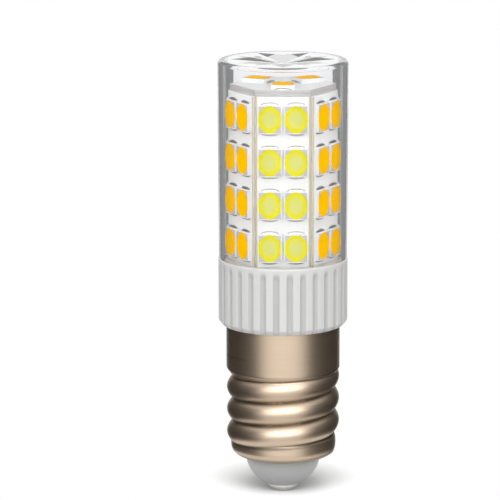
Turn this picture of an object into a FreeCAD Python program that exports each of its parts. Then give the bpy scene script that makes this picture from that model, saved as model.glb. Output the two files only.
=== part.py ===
import FreeCAD, Part
import math
import os

# Corn LED bulb with an E14 screw cap. Millimetres, axis on Z, the centre contact rests at Z = 0
# and the front of the bulb faces -Y.

# Screw cap: standard knuckle thread on a thin drawn shell
thread_pitch = 2.822
thread_crest_d = 13.89
thread_depth = 0.8
thread_ridge_r = 1.1
thread_turns = 3
thread_run_out = 0.55
first_crest_drop = 1.1
thread_lead_out = 1.534
shell_wall = 0.3
skirt_step = 0.055
skirt_height = 5.5
shoulder_drop = 1.2
shell_end_step = 0.305
shell_end_height = 2.6
shell_end_round = 1.3
mouth_lip = 0.45

# Insulator cup and the riveted contact in it
contact_projection = 0.9
contact_d = 4.0
contact_flat_d = 2.6
rivet_d = 2.0
rivet_head_d = 2.8
rivet_head_t = 0.3
lead_hole_d = 0.9
insulator_drop = 3.7
insulator_floor = 1.2
insulator_wall = 1.1
insulator_flange_t = 1.0
fit_gap = 0.1

# Ribbed body between the cap and the cover
body_height = 8.3
body_step = 0.1
body_overhang = 0.45
body_bevel_height = 0.6
rib_count = 30
flute_r = 0.45
flute_depth = 0.28
rim_height = 0.95
neck_length = 4.2
seat_depth = 1.0
seat_ledge = 0.6
seat_ledge_t = 2.0
slot_depth = 0.5

# LED column: six side boards in a hexagon and a board on top
side_count = 6
board_t = 0.8
board_edge = 0.485
corner_flat = 0.2
mitre_gap = 0.08
column_gap = 0.3
row_count = 4
row_gap = 1.75
lower_gap = 0.6
upper_gap = 0.95
top_board_step = 0.35
top_led_count = 3
top_led_margin = 0.05

# LED package, its window and the solder at its ends
led_width = 2.8
led_length = 3.5
led_height = 0.5
window_margin = 0.06
window_chamfer = 0.9
window_depth = 0.3
phosphor_recess = 0.03
solder_width = 2.1
solder_reach = 0.3
solder_height = 0.22

# Clear cover
led_clearance = 0.16
cover_wall_low = 0.6
cover_wall_top = 0.75
cover_foot_wall = 0.35
cover_foot_length = 0.5
cover_ceiling = 0.45
cover_headroom = 1.95
cover_edge_round = 0.5
cover_inner_bevel = 0.2
star_points = 6
star_rim = 1.1
star_valley_r = 4.0
star_depth = 0.5

# Driver inside the cap and the body
driver_board_t = 1.0
driver_edge_gap = 0.85
driver_bottom_gap = 1.3
driver_top_gap = 1.4
rectifier_size = (4.7, 2.4, 3.9)
regulator_size = (4.9, 1.5, 3.9)
chip_size = (3.2, 0.6, 1.6)
chip_count = 2
chip_pitch = 2.6
regulator_rise = 1.0
capacitor_d = 4.0
capacitor_length = 7.0
capacitor_groove = 0.25
fuse_d = 1.8
fuse_length = 2.6
fuse_lead_d = 0.6
wire_d = 0.8
lead_spread = 4.4
lead_rise = 7.0

# Sizes that follow from those above
crest_r = thread_crest_d / 2
root_r = crest_r - thread_depth
skirt_r = crest_r + skirt_step
thread_bore_r = root_r - shell_wall
shell_end_r = root_r + shell_end_step
mouth_r = shell_end_r - shell_end_round - mouth_lip
insulator_bottom = contact_projection
shell_bottom = insulator_bottom + insulator_drop
flange_low = shell_bottom + shell_wall
flange_top = flange_low + insulator_flange_t
skirt_bottom = shell_bottom + thread_lead_out + thread_turns * thread_pitch + first_crest_drop
body_bottom = skirt_bottom + skirt_height
body_top = body_bottom + body_height
seat_floor = body_top - seat_depth
column_pitch = led_width + column_gap
row_pitch = led_length + row_gap
hex_side = column_pitch + led_width + 2 * board_edge
apothem = hex_side * math.cos(math.pi / side_count)
board_inner_apothem = apothem - board_t
first_row = body_top + lower_gap + led_length / 2
side_board_top = first_row + (row_count - 1) * row_pitch + led_length / 2 + upper_gap
top_board_top = side_board_top + board_t
top_board_side = hex_side - top_board_step
top_board_apothem = top_board_side * math.cos(math.pi / side_count)
top_led_ring_r = top_board_apothem - top_led_margin - solder_reach - led_length / 2
led_corner_r = math.hypot(apothem + led_height, column_pitch / 2 + led_width / 2)
cover_bore_r = led_corner_r + led_clearance
cover_low_r = cover_bore_r + cover_wall_low
cover_top_r = cover_bore_r + cover_wall_top
cover_foot_r = cover_bore_r + cover_foot_wall
cover_foot_bottom = body_top - cover_foot_length
cover_top = top_board_top + led_height + cover_headroom + cover_ceiling
star_tip_r = cover_top_r - cover_edge_round - star_rim
body_r = cover_low_r + body_step
ledge_bore_r = board_inner_apothem - seat_ledge
driver_half_width = thread_bore_r - driver_edge_gap
slot_end = driver_half_width + fit_gap
neck_bore_r = slot_end - slot_depth
neck_bottom = body_bottom - neck_length
driver_bottom = flange_top + driver_bottom_gap
driver_top = seat_floor - driver_top_gap
cavity_floor = insulator_bottom + insulator_floor
rivet_top = cavity_floor + rivet_head_t

axis = FreeCAD.Vector(0, 0, 1)
across = FreeCAD.Vector(0, 1, 0)
centre = FreeCAD.Vector(0, 0, 0)


def point(x, y, z):
    return FreeCAD.Vector(x, y, z)


def turned(outline):
    """Solid turned about the axis from a closed outline of (radius, height) corners."""
    corners = [point(r, 0, z) for r, z in outline]
    face = Part.Face(Part.makePolygon(corners + corners[:1]))
    return face.revolve(centre, axis, 360)


def round_rim(solid, radius, height, size):
    """Round the circular edge that has this radius at this height."""
    rims = []
    for edge in solid.Edges:
        circle = isinstance(edge.Curve, Part.Circle)
        if circle and abs(edge.Curve.Radius - radius) < 1e-4 and abs(edge.Curve.Center.z - height) < 1e-4:
            rims.append(edge)
    return solid.makeFillet(size, rims)


def tube(radius, bore, low, high):
    outer = Part.makeCylinder(radius, high - low, point(0, 0, low))
    return outer.cut(Part.makeCylinder(bore, high - low, point(0, 0, low)))


def block(width, depth, height, x, y, z):
    """Box centred on x, starting at y and z."""
    return Part.makeBox(width, depth, height, point(x - width / 2, y, z))


def ring_polygon(radii, height, start):
    """Closed wire whose corners step round the axis and take these radii in turn."""
    step = 360.0 / len(radii)
    corners = []
    for index, radius in enumerate(radii):
        angle = math.radians(start + index * step)
        corners.append(point(radius * math.cos(angle), radius * math.sin(angle), height))
    return Part.makePolygon(corners + corners[:1])


def hexagon_prism(corner_r, low, high):
    """Six-sided prism with a flat side to the front."""
    outline = ring_polygon([corner_r] * side_count, low, 0)
    return Part.Face(outline).extrude(axis * (high - low))


def turned_about_axis(shape, angle):
    copy = shape.copy()
    copy.rotate(centre, axis, angle)
    return copy


def bent_wire(start, corner, end, diameter, bend):
    """Round wire from start to end with one square bend of this radius near the corner."""
    back = (start - corner).normalize()
    ahead = (end - corner).normalize()
    hub = corner + (back + ahead) * bend
    straights = []
    for far, way in ((start, back), (end, ahead)):
        near = corner + way * bend
        section = Part.Face(Part.Wire(Part.makeCircle(diameter / 2, near, way)))
        straights.append(section.extrude(far - near))
    section = Part.Face(Part.Wire(Part.makeCircle(diameter / 2, corner + back * bend, back)))
    elbow = section.revolve(hub, ahead.cross(back), 90)
    return elbow.fuse(straights).removeSplitter()


def thread_ridge():
    """Right-hand rolled ridge: half-turn rings tilted by turns, the last one sunk into the wall."""
    ring_r = crest_r - thread_ridge_r
    half_rise = thread_pitch / 4
    ring_end = math.sqrt(ring_r ** 2 - half_rise ** 2)
    first_crest = skirt_bottom - first_crest_drop
    last_half = 2 * thread_turns - 1
    rings = []
    for half_turn in range(-1, last_half + 1):
        radius = ring_r - thread_run_out / 2 if half_turn == last_half else ring_r
        tilt = math.asin(half_rise / radius)
        ring = Part.makeTorus(radius, thread_ridge_r, centre, axis, 0, 360, 180)
        if half_turn % 2 == 0:
            ring.rotate(centre, axis, 180)
            ring.rotate(centre, across, -math.degrees(tilt))
        else:
            ring.rotate(centre, across, math.degrees(tilt))
        middle = first_crest - half_rise * (2 * half_turn + 1)
        ring.translate(point(radius * math.cos(tilt) - ring_end, 0, middle))
        rings.append(ring)
    return rings


def make_screw_shell():
    end_r = shell_end_r
    band_top = shell_bottom + shell_end_height
    outside = turned([
        (0, body_bottom),
        (skirt_r, body_bottom),
        (skirt_r, skirt_bottom),
        (root_r, skirt_bottom - shoulder_drop),
        (root_r, band_top),
        (end_r, band_top - (end_r - root_r)),
        (end_r, shell_bottom),
        (0, shell_bottom),
    ])
    outside = round_rim(outside, end_r, shell_bottom, shell_end_round)
    inside = turned([
        (0, body_bottom),
        (skirt_r - shell_wall, body_bottom),
        (skirt_r - shell_wall, skirt_bottom),
        (thread_bore_r, skirt_bottom - shoulder_drop),
        (thread_bore_r, band_top),
        (end_r - shell_wall, band_top - (end_r - root_r)),
        (end_r - shell_wall, shell_bottom + shell_end_round),
        (end_r - shell_end_round, shell_bottom + shell_wall),
        (0, shell_bottom + shell_wall),
    ])
    mouth = Part.makeCylinder(mouth_r, shell_wall, point(0, 0, shell_bottom))
    return outside.fuse(thread_ridge()).removeSplitter().cut([inside, mouth])


def make_insulator():
    """Cup whose outside is half an ellipse, flat at its end for the contact, with a flange in the shell."""
    neck_r = mouth_r - fit_gap
    flange_r = mouth_r + mouth_lip - fit_gap / 2
    end_r = contact_d / 2 + fit_gap
    arc_end = math.acos(end_r / neck_r)
    arc_depth = insulator_drop / math.sin(arc_end)
    hub = point(0, 0, shell_bottom)
    side, end = point(neck_r, 0, shell_bottom), hub - axis * arc_depth
    if neck_r > arc_depth:  # the longer half comes first
        bowl = Part.Ellipse(side, end, hub).toShape(0, arc_end)
    else:
        bowl = Part.Ellipse(end, side, hub).toShape(math.pi / 2 - arc_end, math.pi / 2)
    outline = Part.makePolygon([
        point(end_r, 0, insulator_bottom),
        point(0, 0, insulator_bottom),
        point(0, 0, flange_top),
        point(flange_r, 0, flange_top),
        point(flange_r, 0, flange_low),
        point(neck_r, 0, flange_low),
        point(neck_r, 0, shell_bottom),
    ])
    wire = Part.Wire([bowl] + outline.Edges)
    cup = Part.Face(wire).revolve(centre, axis, 360)
    floor_share = (insulator_drop - insulator_floor) / arc_depth
    cavity_r = neck_r * math.sqrt(1 - floor_share ** 2) - insulator_wall
    cavity = Part.makeCylinder(cavity_r, flange_top - cavity_floor, point(0, 0, cavity_floor))
    hole = Part.makeCylinder(rivet_d / 2 + fit_gap / 2, insulator_floor, point(0, 0, insulator_bottom))
    return cup.cut([cavity, hole])


def make_centre_contact():
    """Flat-ended contact with a shank that is riveted over inside the cup and drilled for the lead."""
    body = turned([
        (0, 0),
        (contact_flat_d / 2, 0),
        (contact_d / 2, insulator_bottom - rivet_head_t),
        (contact_d / 2, insulator_bottom),
        (rivet_d / 2, insulator_bottom),
        (rivet_d / 2, cavity_floor),
        (rivet_head_d / 2, cavity_floor),
        (rivet_d / 2, rivet_top),
        (0, rivet_top),
    ])
    drill = Part.makeCylinder(lead_hole_d / 2, rivet_top, point(0, 0, insulator_bottom))
    return body.cut(drill)


def make_ribbed_body():
    """White ring: flutes outside, a six-sided seat and a groove on top, a neck for the cap below."""
    ledge_bottom = seat_floor - seat_ledge_t
    neck_r = skirt_r - shell_wall - fit_gap
    ring = turned([
        (neck_bore_r, neck_bottom),
        (neck_r, neck_bottom),
        (neck_r, body_bottom),
        (skirt_r + body_overhang, body_bottom),
        (body_r, body_bottom + body_bevel_height),
        (body_r, body_top),
        (ledge_bore_r, body_top),
        (ledge_bore_r, ledge_bottom),
        (neck_bore_r, ledge_bottom),
    ])
    groove = tube(cover_foot_r + fit_gap / 2, cover_bore_r - fit_gap, cover_foot_bottom, body_top)
    seat_round = Part.makeCylinder(hex_side - corner_flat + fit_gap, seat_depth, point(0, 0, seat_floor))
    seat = hexagon_prism(hex_side + fit_gap, seat_floor, body_top).common(seat_round)
    slot_width = driver_board_t + 2 * fit_gap
    slots = block(2 * slot_end, slot_width, body_top - neck_bottom, 0, -slot_width / 2, neck_bottom)
    flute_height = body_height - rim_height
    flute_at = point(body_r - flute_depth + flute_r, 0, body_bottom)
    flute = Part.makeCylinder(flute_r, flute_height, flute_at)
    lead_out = block(4 * flute_r, 4 * flute_r, 4 * flute_r, 0, -2 * flute_r, 0)
    lead_out.rotate(centre, across, -45)
    lead_out.translate(point(body_r - flute_depth, 0, body_bottom + flute_height - flute_depth))
    flute = flute.cut(lead_out)
    flutes = [turned_about_axis(flute, 360.0 / rib_count * index) for index in range(rib_count)]
    return ring.cut([groove, seat, slots] + flutes)


def make_side_board():
    """Front side board: long edges mitred to meet the boards beside it, corners of the column cut flat."""
    half_turn = math.pi / side_count
    flat_r = hex_side - corner_flat
    outer = (flat_r - apothem * math.cos(half_turn)) / math.sin(half_turn)
    flat_depth = (flat_r + mitre_gap * math.sin(half_turn)) * math.cos(half_turn)
    middle = flat_depth * math.tan(half_turn) - mitre_gap
    inner = board_inner_apothem * math.tan(half_turn) - mitre_gap
    corners = [
        point(-outer, -apothem, seat_floor),
        point(outer, -apothem, seat_floor),
        point(middle, -flat_depth, seat_floor),
        point(inner, -board_inner_apothem, seat_floor),
        point(-inner, -board_inner_apothem, seat_floor),
        point(-middle, -flat_depth, seat_floor),
    ]
    outline = Part.makePolygon(corners + corners[:1])
    return Part.Face(outline).extrude(axis * (side_board_top - seat_floor))


def window_prism(margin, depth):
    """Eight-sided prism that points along -Z from the LED's face at Z = 0."""
    half_w = led_width / 2 - margin
    half_l = led_length / 2 - margin
    cut = window_chamfer
    corners = [
        point(half_w - cut, -half_l, 0),
        point(half_w, -half_l + cut, 0),
        point(half_w, half_l - cut, 0),
        point(half_w - cut, half_l, 0),
        point(-half_w + cut, half_l, 0),
        point(-half_w, half_l - cut, 0),
        point(-half_w, -half_l + cut, 0),
        point(-half_w + cut, -half_l, 0),
    ]
    return Part.Face(Part.makePolygon(corners + corners[:1])).extrude(axis * -depth)


def make_led():
    """LED package, phosphor and two solder fillets, lying on the plane Z = 0 with its length on Y."""
    housing = block(led_width, led_length, led_height, 0, -led_length / 2, 0)
    window = window_prism(window_margin, window_depth)
    window.translate(axis * led_height)
    phosphor = window_prism(window_margin, window_depth - phosphor_recess)
    phosphor.translate(axis * (led_height - phosphor_recess))
    end = led_length / 2
    wedge = [
        point(-solder_width / 2, end, 0),
        point(-solder_width / 2, end + solder_reach, 0),
        point(-solder_width / 2, end, solder_height),
    ]
    fillet = Part.Face(Part.makePolygon(wedge + wedge[:1])).extrude(point(solder_width, 0, 0))
    other = turned_about_axis(fillet, 180)
    return {"housings": [housing.cut(window)], "phosphors": [phosphor], "solder": [fillet, other]}


def on_front_board(shape, x, z):
    """Stand a flat-lying shape on the outer face of the front board."""
    copy = shape.copy()
    copy.rotate(centre, point(1, 0, 0), 90)
    copy.translate(point(x, -apothem, z))
    return copy


def on_top_board(shape, angle):
    """Lay a shape on the top board with its length along a radius."""
    copy = shape.copy()
    copy.translate(point(0, -top_led_ring_r, top_board_top))
    return turned_about_axis(copy, angle)


def make_column():
    """Boards with their LED packages, keyed by node name."""
    nodes = {}
    led = make_led()
    board = make_side_board()
    places = []
    for row in range(row_count):
        for side in (-1, 1):
            places.append((side * column_pitch / 2, first_row + row * row_pitch))
    for index in range(side_count):
        angle = index * 360.0 / side_count
        number = index + 1
        nodes[f"side_board_{number}"] = turned_about_axis(board, angle)
        for kind, shapes in led.items():
            group = [on_front_board(shape, x, z) for x, z in places for shape in shapes]
            nodes[f"led_{kind}_{number}"] = turned_about_axis(Part.makeCompound(group), angle)
    nodes["top_board"] = hexagon_prism(top_board_side, side_board_top, top_board_top)
    for kind, shapes in led.items():
        group = []
        for index in range(top_led_count):
            angle = index * 360.0 / top_led_count
            group += [on_top_board(shape, angle) for shape in shapes]
        nodes[f"led_{kind}_top"] = Part.makeCompound(group)
    return nodes


def star_pit(height):
    """Six-pointed pit of flat facets that fall from this height to the axis."""
    outline = ring_polygon([star_tip_r, star_valley_r] * star_points, height, 0)
    return Part.makeLoft([outline, Part.Vertex(0, 0, height - star_depth)], True, True)


def make_clear_cover():
    """Clear cover: a foot in the body's groove, slightly wider at the top, a star sunk in its even wall."""
    ceiling = cover_top - cover_ceiling
    cover = turned([
        (cover_bore_r, cover_foot_bottom),
        (cover_foot_r, cover_foot_bottom),
        (cover_foot_r, body_top),
        (cover_low_r, body_top),
        (cover_top_r, cover_top),
        (0, cover_top),
        (0, ceiling),
        (cover_bore_r - cover_inner_bevel, ceiling),
        (cover_bore_r, ceiling - cover_inner_bevel),
    ])
    cover = round_rim(cover, cover_top_r, cover_top, cover_edge_round)
    return cover.fuse(star_pit(ceiling)).removeSplitter().cut(star_pit(cover_top))


def make_smoothing_capacitor():
    """Upright can with a rolled groove near its lower end."""
    low = driver_bottom
    high = low + capacitor_length
    can_r = capacitor_d / 2
    groove_z = low + 4 * capacitor_groove
    can = turned([
        (0, low),
        (can_r, low),
        (can_r, groove_z - capacitor_groove),
        (can_r - capacitor_groove, groove_z),
        (can_r, groove_z + capacitor_groove),
        (can_r, high),
        (0, high),
    ])
    can.translate(point(0, -driver_board_t / 2 - fit_gap - can_r, 0))
    return can


def make_fuse_resistor():
    """Resistor with bevelled ends, on a lead from the drilled contact up to the board."""
    low = rivet_top + fuse_lead_d
    high = low + fuse_length
    body_radius = fuse_d / 2
    lead_radius = fuse_lead_d / 2
    bevel = body_radius - lead_radius
    lead_low = insulator_bottom + fit_gap
    lead_high = driver_bottom - fit_gap
    return turned([
        (0, lead_low),
        (lead_radius, lead_low),
        (lead_radius, low),
        (body_radius, low + bevel / 2),
        (body_radius, high - bevel / 2),
        (lead_radius, high),
        (lead_radius, lead_high),
        (0, lead_high),
    ])


def make_driver():
    """Driver board with its parts and wires, keyed by node name."""
    nodes = {}
    face = driver_board_t / 2
    height = driver_top - driver_bottom
    nodes["driver_board"] = block(2 * driver_half_width, driver_board_t, height, 0, -face, driver_bottom)
    nodes["smoothing_capacitor"] = make_smoothing_capacitor()
    nodes["bridge_rectifier"] = block(*rectifier_size, 0, face, driver_bottom + wire_d)
    regulator_y = -face - regulator_size[1]
    regulator_z = neck_bottom + regulator_rise
    nodes["current_regulator"] = block(*regulator_size, 0, regulator_y, regulator_z)
    chips = [block(*chip_size, 0, face, neck_bottom + index * chip_pitch) for index in range(chip_count)]
    nodes["chip_resistors"] = Part.makeCompound(chips)
    nodes["fuse_resistor"] = make_fuse_resistor()
    pad_y = face + fit_gap / 2 + wire_d / 2
    pad_length = 3 * wire_d
    neutral_x = -(rectifier_size[0] / 2 + wire_d)
    shell_y = math.sqrt((thread_bore_r - fit_gap) ** 2 - (neutral_x - wire_d / 2) ** 2)
    neutral_z = driver_bottom + wire_d
    nodes["neutral_wire"] = bent_wire(
        point(neutral_x, pad_y, neutral_z + pad_length),
        point(neutral_x, pad_y, neutral_z),
        point(neutral_x, shell_y, neutral_z),
        wire_d, wire_d)
    for name, side in (("positive_lead", 1), ("negative_lead", -1)):
        x = side * lead_spread / 2
        nodes[name] = bent_wire(
            point(x, pad_y, driver_top - pad_length),
            point(x, pad_y, driver_top + lead_rise),
            point(x, board_inner_apothem, driver_top + lead_rise),
            wire_d, wire_d)
    return nodes


def make_bulb():
    nodes = {
        "screw_shell": make_screw_shell(),
        "insulator": make_insulator(),
        "centre_contact": make_centre_contact(),
        "ribbed_body": make_ribbed_body(),
        "clear_cover": make_clear_cover(),
    }
    nodes.update(make_column())
    nodes.update(make_driver())
    return nodes


os.makedirs("parts", exist_ok=True)
for name, shape in make_bulb().items():
    shape.exportStep(f"parts/{name}.step")
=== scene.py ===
"""Shown pieces, finishes and a plain studio for a corn LED bulb, built round the fixed frame."""
import math

import bmesh
import bpy
from mathutils import Matrix, Vector


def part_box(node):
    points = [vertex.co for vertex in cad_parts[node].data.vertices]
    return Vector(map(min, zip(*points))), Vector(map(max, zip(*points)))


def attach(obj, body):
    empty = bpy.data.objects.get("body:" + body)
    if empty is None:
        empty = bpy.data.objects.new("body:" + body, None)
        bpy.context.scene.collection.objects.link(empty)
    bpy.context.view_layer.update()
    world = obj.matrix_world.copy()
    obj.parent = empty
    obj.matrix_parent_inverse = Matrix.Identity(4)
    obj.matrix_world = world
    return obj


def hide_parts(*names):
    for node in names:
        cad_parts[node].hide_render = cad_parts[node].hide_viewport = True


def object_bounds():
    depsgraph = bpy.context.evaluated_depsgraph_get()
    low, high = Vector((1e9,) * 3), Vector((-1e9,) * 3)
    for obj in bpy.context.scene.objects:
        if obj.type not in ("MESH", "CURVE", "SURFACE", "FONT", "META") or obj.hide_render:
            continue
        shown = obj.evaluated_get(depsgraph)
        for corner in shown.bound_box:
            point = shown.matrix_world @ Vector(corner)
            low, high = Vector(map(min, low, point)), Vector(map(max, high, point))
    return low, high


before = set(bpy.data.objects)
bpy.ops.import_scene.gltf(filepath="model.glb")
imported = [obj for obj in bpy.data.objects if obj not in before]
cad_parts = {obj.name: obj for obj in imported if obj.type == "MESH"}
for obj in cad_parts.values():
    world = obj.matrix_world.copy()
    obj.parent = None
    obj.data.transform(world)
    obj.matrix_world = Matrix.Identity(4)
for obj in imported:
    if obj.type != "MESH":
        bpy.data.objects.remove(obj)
CAD_BOX = [list(corner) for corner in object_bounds()]

bl_info = {
    "name": "Corn LED bulb",
    "version": (1, 0, 0),
    "blender": (4, 5, 0),
    "location": "View3D > Sidebar > Corn bulb",
    "description": "Builds the shown pieces of a corn LED bulb and a plain studio round them",
    "category": "Object",
}

MM = 0.001
BODY = "root"
SIDES = 6
ROWS = 4
TOP_LEDS = 3
WHITE = (1, 1, 1)
METAL = {"Metallic": 1.0}
PRINCIPLED = "Principled BSDF"

# Places taken from the frame, in metres
SHELL_LOW, SHELL_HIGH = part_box("screw_shell")
RING_LOW, RING_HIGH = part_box("ribbed_body")
COVER_LOW, COVER_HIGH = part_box("clear_cover")
BOARD_LOW, BOARD_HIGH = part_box("side_board_1")
TOP_LOW, TOP_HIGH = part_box("top_board")
CUP_LOW, CUP_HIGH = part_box("insulator")
CONTACT_LOW, CONTACT_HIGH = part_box("centre_contact")
LEDS_LOW, LEDS_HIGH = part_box("led_housings_1")
TOP_LEDS_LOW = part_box("led_housings_top")[0]

# Thread, counted from the skirt's bottom (start), the band's top (end) and the shell's end (rim)
THREAD_ROWS = 54  # rows of points in one pitch
THREAD_STEPS = 120  # steps in one turn
THREAD_START = (-0.2 * MM, 1.0 * MM)
THREAD_END = (-2.2 * MM, 0.2 * MM)
THREAD_TAIL = 3 * MM
CREST_POWER = 0.7  # under 1 for broad crests and narrow grooves
ROOT_BLEND = 0.08 * MM
LEAST_LIFT = 1e-7
# Painted shade: the thread's grooves and the shell's closed end are darkened as if less light reached them
PAINTED_SHADE_GROOVE = (0.34, 0.47)  # shares of the pitch, from the nearest crest
PAINTED_SHADE_END = (-1.1 * MM, -0.7 * MM)
PAINTED_SHADE_RIM = (0.35 * MM, 0.8 * MM)

# LED packages
LED_STEPS = 40
WINDOW_DEPTH = 0.3 * MM
SQUARE, WINDOW = 26, 10  # sharpness of the corners of a package and of its window

# Studio
DEEP_RAY = 1.5  # rays beyond this depth were mirrored inside the cover
DEEP_SHADE = 0.10
LAMP_AIM = Vector((0, 0, 0.03))
IMAGE_PX = 500.0
SENSOR_MM = 36.0


# Properties

def number(name, description, default, **settings):
    """A number that the sidebar can change."""
    return bpy.props.FloatProperty(name=name, description=description, default=default, **settings)


def size(name, description, default_mm):
    """A length that the sidebar can change."""
    return number(name, description, default_mm * MM, unit="LENGTH", subtype="DISTANCE", precision=5)


def colour(name, description, default):
    """A colour that the sidebar can change."""
    return bpy.props.FloatVectorProperty(name=name, description=description, default=default,
                                         subtype="COLOR", size=3, min=0.0, max=1.0)


class CornBulbCap(bpy.types.PropertyGroup):
    """Sizes of the screw shell, the insulator and the contact."""
    pitch: size("Thread pitch", "Rise of the thread in one turn", 2.822)
    depth: size("Thread depth", "From the root to the crest of the thread", 0.8)
    crest_r: size("Crest radius", "Radius over the crests of the thread", 6.945)
    first_crest: size("First crest", "Height of the first crest on +X", 14.6)
    skirt_bottom: size("Skirt bottom", "Height of the lower end of the plain skirt", 15.7)
    shoulder: size("Shoulder", "Height over which the skirt draws in to the root", 1.2)
    band_top: size("Band top", "Height of the top of the plain end band", 7.2)
    band_r: size("Band radius", "Radius of the plain end band", 6.45)
    band_round: size("Band rounding", "Rounding at the closed end of the shell", 1.3)
    mouth_r: size("Mouth radius", "Radius of the hole for the insulator", 4.7)
    wall: size("Wall", "Thickness of the drawn sheet", 0.3)
    cup_r: size("Cup radius", "Radius of the insulator at the shell's mouth", 4.6)
    cup_end_r: size("Cup end radius", "Radius of the flat at the end of the cup", 2.1)


class CornBulbRing(bpy.types.PropertyGroup):
    """Sizes of the ribbed body."""
    ribs: bpy.props.IntProperty(name="Ribs", description="Ribs round the body", default=30, min=3)
    bottom: size("Bottom", "Height of the lower face, where the skirt ends", SHELL_HIGH.z / MM)
    flute_depth: size("Flute depth", "Depth of the hollows between the ribs", 0.28)
    flute_r: size("Flute radius", "Radius of the round hollows between the ribs", 0.45)
    rim: size("Rim", "Height of the smooth rim over the ribs", 0.75)
    bevel_height: size("Bevel height", "Height of the bevel at the bottom", 0.6)
    bevel_r: size("Bevel radius", "Radius at the foot of the bevel", 7.45)
    seat: size("Seat depth", "Depth of the six-sided seat for the boards", 1.0)
    seat_corner_r: size("Seat corner radius", "Radius to the corners of the seat", 6.97)
    bore_r: size("Bore radius", "Radius of the bore through the body", 4.55)
    neck_r: size("Neck radius", "Radius of the neck inside the skirt", 6.6)


class CornBulbLeds(bpy.types.PropertyGroup):
    """Sizes of the boards and the LED packages."""
    width: size("LED width", "Width of an LED package", 2.8)
    length: size("LED length", "Length of an LED package", 3.5)
    height: size("LED height", "Height of an LED package", (LEDS_HIGH.y - LEDS_LOW.y) / MM)
    margin: size("Window margin", "Wall between the window and the package's side", 0.06)
    window_cut: size("Window corner", "How much of each window corner is cut off", 0.9)
    recess: size("Phosphor recess", "Depth of the phosphor under the package's face", 0.03)
    solder_width: size("Solder width", "Width of a solder fillet", 2.1)
    solder_reach: size("Solder reach", "How far a fillet reaches along the board", 0.3)
    solder_height: size("Solder height", "How far a fillet climbs up the package", 0.22)
    board: size("Board thickness", "Thickness of the LED boards", 0.8)
    mitre_gap: size("Mitre gap", "Half the gap between two side boards", 0.08)
    corner_flat: size("Corner flat", "Depth of the flat cut along the column's corners", 0.2)


class CornBulbCover(bpy.types.PropertyGroup):
    """Sizes of the clear cover."""
    bore_r: size("Bore radius", "Inner radius of the cover", 7.252)
    low_r: size("Lower radius", "Outer radius at the body", 7.852)
    foot_r: size("Foot radius", "Outer radius of the foot in the body's groove", 7.602)
    ceiling: size("Ceiling", "Thickness of the closed top", 0.45)
    edge_round: size("Edge rounding", "Rounding of the top edge", 0.5)
    star_tip_r: size("Star tips", "Radius of the star's tips", 6.4)
    star_valley_r: size("Star valleys", "Radius of the star's valleys", 4.0)
    star_depth: size("Star depth", "Depth of the cut star at its middle", 0.5)


class CornBulbColours(bpy.types.PropertyGroup):
    """Colours of the finishes."""
    nickel: colour("Nickel", "Warm nickel of the shell", (0.62, 0.49, 0.37))
    # Painted shade: dark metal laid into the thread's grooves and along the shell's closed end
    painted_thread_shade: colour("Thread grooves", "Dull metal in the grooves of the thread", (0.27, 0.22, 0.165))
    # Painted shade for the hollows between the ribs
    groove: colour("Grooves", "Shade in the hollows between the ribs", (0.60, 0.60, 0.60))
    ring: colour("Ribbed body", "White of the ribbed body", (0.78, 0.78, 0.77))
    board: colour("Board", "White solder mask", (0.93, 0.93, 0.925))
    laminate: colour("Laminate", "Cut edge of the side boards", (0.66, 0.57, 0.41))
    laminate_top: colour("Top laminate", "Cut edge of the top board", (0.56, 0.54, 0.53))
    housing: colour("LED housing", "Pale moulded package", (0.60, 0.585, 0.63))
    # Painted highlight on the package's rim and walls
    housing_rim_highlight: colour("LED housing edge", "Rim and walls of the package", (0.92, 0.92, 0.93))
    # The front phosphors are a painted lit copy of the amber ones: paler as if lit from the front, palest in
    # the middle, a painted reflection
    painted_lit_lemon_edge: colour("Lemon edge", "Edge of the front phosphors", (0.84, 0.77, 0.0))
    painted_lit_lemon_middle: colour("Lemon middle", "Middle of the front phosphors", (0.76, 0.77, 0.24))
    amber_edge: colour("Amber edge", "Edge of the other phosphors", (0.98, 0.49, 0.0))
    amber_middle: colour("Amber middle", "Middle of the other phosphors", (0.98, 0.54, 0.0))
    solder: colour("Solder", "Bright tin", (0.56, 0.55, 0.54))
    insulator: colour("Insulator", "Grey cup", (0.63, 0.635, 0.635))
    cover: colour("Cover", "Clear plastic", (0.95, 0.955, 0.96))


class CornBulbStudio(bpy.types.PropertyGroup):
    """Camera and light."""
    distance: size("Distance", "From the camera to the bulb's axis", 400)
    aim: size("Aim height", "Height on the axis that the camera looks at", 30.33)
    elevation: number("Elevation", "Camera's angle above the floor", math.radians(11.43), subtype="ANGLE")
    lens: number("Lens", "Focal length in millimetres", 234.1)
    axis_px: number("Axis", "Column of the image that shows the axis", 283.0, subtype="PIXEL")
    floor_r: size("Floor radius", "Radius of the floor under the bulb", 14)
    floor_white: number("Floor white", "White that the open floor shows", 0.80, min=0.0)
    floor_shade: number("Floor shade", "White that is left in the shadow", 0.12, min=0.0)
    ambient: number("Ambient light", "Light of the surrounding room", 0.65, min=0.0)
    flag_shade: number("Flag shade", "Shade of the dark cloths that metal shows", 0.015, min=0.0, max=1.0)
    card_shade: number("Card shade", "Shade of the grey cards that the cover shows", 0.35, min=0.0, max=1.0)


# Mesh helpers

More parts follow.
